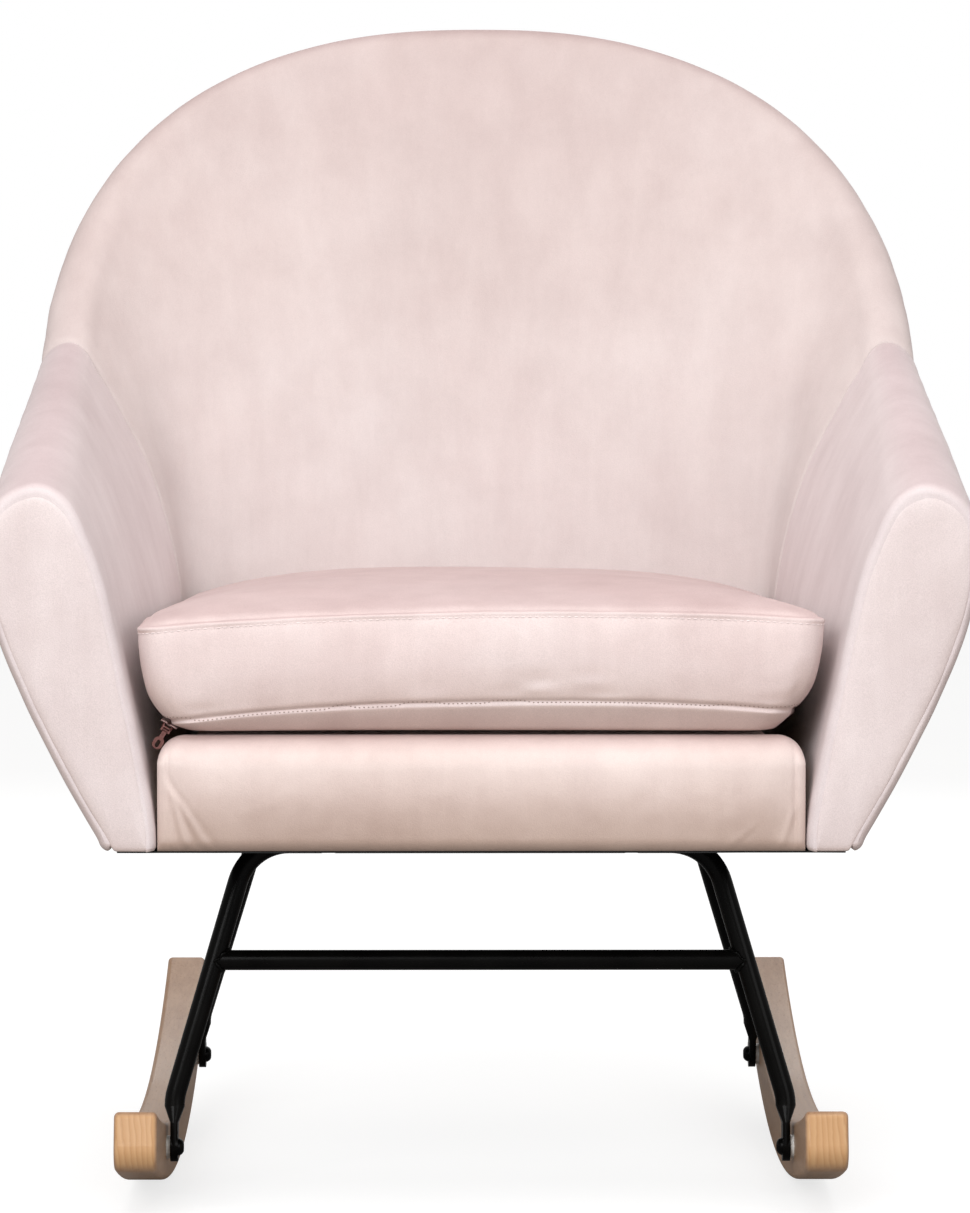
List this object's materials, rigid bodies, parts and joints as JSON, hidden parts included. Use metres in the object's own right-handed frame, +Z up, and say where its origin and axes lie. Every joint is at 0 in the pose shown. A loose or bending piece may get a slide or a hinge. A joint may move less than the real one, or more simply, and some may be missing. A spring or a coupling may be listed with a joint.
{
  "type": "upholstered rocking chair",
  "caption": "Velvet tub armchair with a loose boxed seat cushion, on black steel-tube legs and curved beech rockers.",
  "frame": {"origin": "on the floor under the rockers, in the middle of the chair's box", "axes": "+Z up, -Y the way the sitter faces, +X to the right as seen from the front; left and right in names are as seen from the front"},
  "size_m": [0.7378, 0.7999, 0.9509],
  "materials": {
    "velvet": "matte",
    "foam": "matte",
    "webbing": "matte",
    "lining": "matte",
    "zip_tape": "matte",
    "beech": "gloss",
    "frame_wood": "matte",
    "black_steel": "gloss",
    "zinc_steel": "satin",
    "rose_metal": "satin",
    "nylon": "satin"
  },
  "bodies": {
    "chair": {"left_rocker": "beech", "right_rocker": "beech", "front_leg_hoop": "black_steel", "rear_leg_hoop": "black_steel", "front_stretcher": "black_steel", "rocker_bolts": "black_steel", "rocker_bolt_spacers": "nylon", "rocker_threaded_inserts": "zinc_steel", "hoop_bolts": "zinc_steel", "t_nuts": "zinc_steel", "seat_front_rail": "frame_wood", "seat_rear_rail": "frame_wood", "seat_left_rail": "frame_wood", "seat_right_rail": "frame_wood", "front_cross_rail": "frame_wood", "rear_cross_rail": "frame_wood", "seat_corner_blocks": "frame_wood", "left_arm_frame": "frame_wood", "right_arm_frame": "frame_wood", "back_frame": "frame_wood", "webbing_lengthwise": "webbing", "webbing_crosswise": "webbing", "dust_cover": "lining", "seat_deck_pad": "velvet", "front_border_pad": "velvet", "left_arm_pad": "velvet", "right_arm_pad": "velvet", "back_pad": "velvet", "left_arm_front_panel": "velvet", "right_arm_front_panel": "velvet", "left_outer_side_panel": "velvet", "right_outer_side_panel": "velvet", "outer_back_panel": "velvet"},
    "seat_cushion": {"cushion_cover": "velvet", "cushion_foam": "foam", "cushion_zip": "zip_tape"},
    "zip_slider": {"zip_slider": "rose_metal"},
    "zip_pull": {"zip_pull": "rose_metal"}
  },
  "joints": [
    {"name": "cushion_lift", "type": "slide", "parent": "chair", "child": "seat_cushion", "axis": [0, 0, 1], "range_m": [0, 0.4]},
    {"name": "zip_slide", "type": "slide", "parent": "seat_cushion", "child": "zip_slider", "axis": [0.0215, 0.9998, 0], "range_m": [0, 0.36]},
    {"name": "zip_pull_swing", "type": "hinge", "parent": "zip_slider", "child": "zip_pull", "pos_m": [-0.2399, -0.36593, 0.37657], "axis": [0.8572, -0.0184, -0.5146], "range_deg": [-80, 80]}
  ]
}
